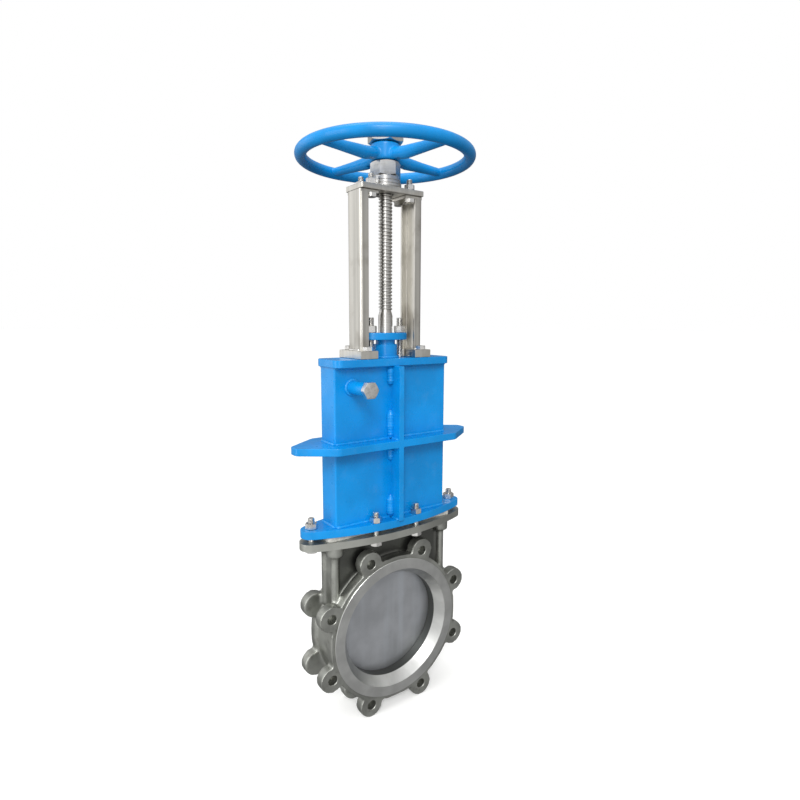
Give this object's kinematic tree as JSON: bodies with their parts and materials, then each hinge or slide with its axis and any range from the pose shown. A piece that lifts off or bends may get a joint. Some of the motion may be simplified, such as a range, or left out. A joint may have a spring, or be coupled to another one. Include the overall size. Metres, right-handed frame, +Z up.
{
  "type": "knife gate valve",
  "caption": "Lugged knife gate valve with a tall bonnet box, open yoke, rising stem and a handwheel whose turning lifts the gate out of the bore.",
  "frame": {"origin": "centre of the flow bore, midway between the two raised faces", "axes": "+Z up along the stem, flow along Y, front face towards -Y, +X to the right seen from the front"},
  "size_m": [0.368, 0.3096, 1.0563],
  "materials": {
    "blue_paint": "gloss enamel",
    "cast_steel": "blasted stainless casting, satin",
    "gate_steel": "ground stainless plate",
    "yoke_steel": "satin stainless sheet",
    "stem_steel": "turned stainless bar",
    "fastener_steel": "bright stainless",
    "bronze": "machined",
    "packing": "braided graphite, dull",
    "seal": "pale PTFE, dull"
  },
  "bodies": {
    "frame": {"valve_body": "cast_steel", "seat_ring": "seal", "body_gasket": "seal", "bonnet": "blue_paint", "purge_plug": "fastener_steel", "flange_bolt_1": "fastener_steel", "flange_bolt_2": "fastener_steel", "flange_bolt_3": "fastener_steel", "flange_bolt_4": "fastener_steel", "flange_bolt_5": "fastener_steel", "flange_bolt_6": "fastener_steel", "flange_nut_1": "fastener_steel", "flange_nut_2": "fastener_steel", "flange_nut_3": "fastener_steel", "flange_nut_4": "fastener_steel", "flange_nut_5": "fastener_steel", "flange_nut_6": "fastener_steel", "gland": "blue_paint", "gland_stud_left": "fastener_steel", "gland_stud_right": "fastener_steel", "gland_nut_left": "fastener_steel", "gland_nut_right": "fastener_steel", "packing_ring_1": "packing", "packing_ring_2": "packing", "packing_ring_3": "packing", "yoke_post_left": "yoke_steel", "yoke_post_right": "yoke_steel", "foot_screw_left_front": "fastener_steel", "foot_screw_left_rear": "fastener_steel", "foot_screw_right_front": "fastener_steel", "foot_screw_right_rear": "fastener_steel", "yoke_plate": "yoke_steel", "yoke_bolt_left_front": "fastener_steel", "yoke_bolt_left_rear": "fastener_steel", "yoke_bolt_right_front": "fastener_steel", "yoke_bolt_right_rear": "fastener_steel", "yoke_nut_left_front": "fastener_steel", "yoke_nut_left_rear": "fastener_steel", "yoke_nut_right_front": "fastener_steel", "yoke_nut_right_rear": "fastener_steel", "bearing_housing": "fastener_steel", "thrust_bearing_lower": "fastener_steel", "thrust_bearing_upper": "fastener_steel", "bearing_cap": "fastener_steel", "gate_guide_left": "seal", "gate_guide_right": "seal"},
    "drive": {"handwheel": "blue_paint", "stem_nut": "bronze", "handwheel_key": "fastener_steel", "handwheel_lock_nut": "fastener_steel"},
    "gate_set": {"gate": "gate_steel", "gate_clevis": "fastener_steel", "clevis_pin_1": "fastener_steel", "clevis_pin_2": "fastener_steel", "stem": "stem_steel"}
  },
  "joints": [
    {"name": "handwheel_turn", "type": "hinge", "parent": "frame", "child": "drive", "pos_m": [0, 0, 0.845], "axis": [0, 0, 1], "range_deg": [0, 12300]},
    {"name": "stem_rise", "type": "slide", "parent": "frame", "child": "gate_set", "axis": [0, 0, 1], "range_m": [0, 0.205]}
  ],
  "couplings": [
    {"joint": "stem_rise", "follows": "handwheel_turn", "m_per_rad": 0.00095493}
  ]
}
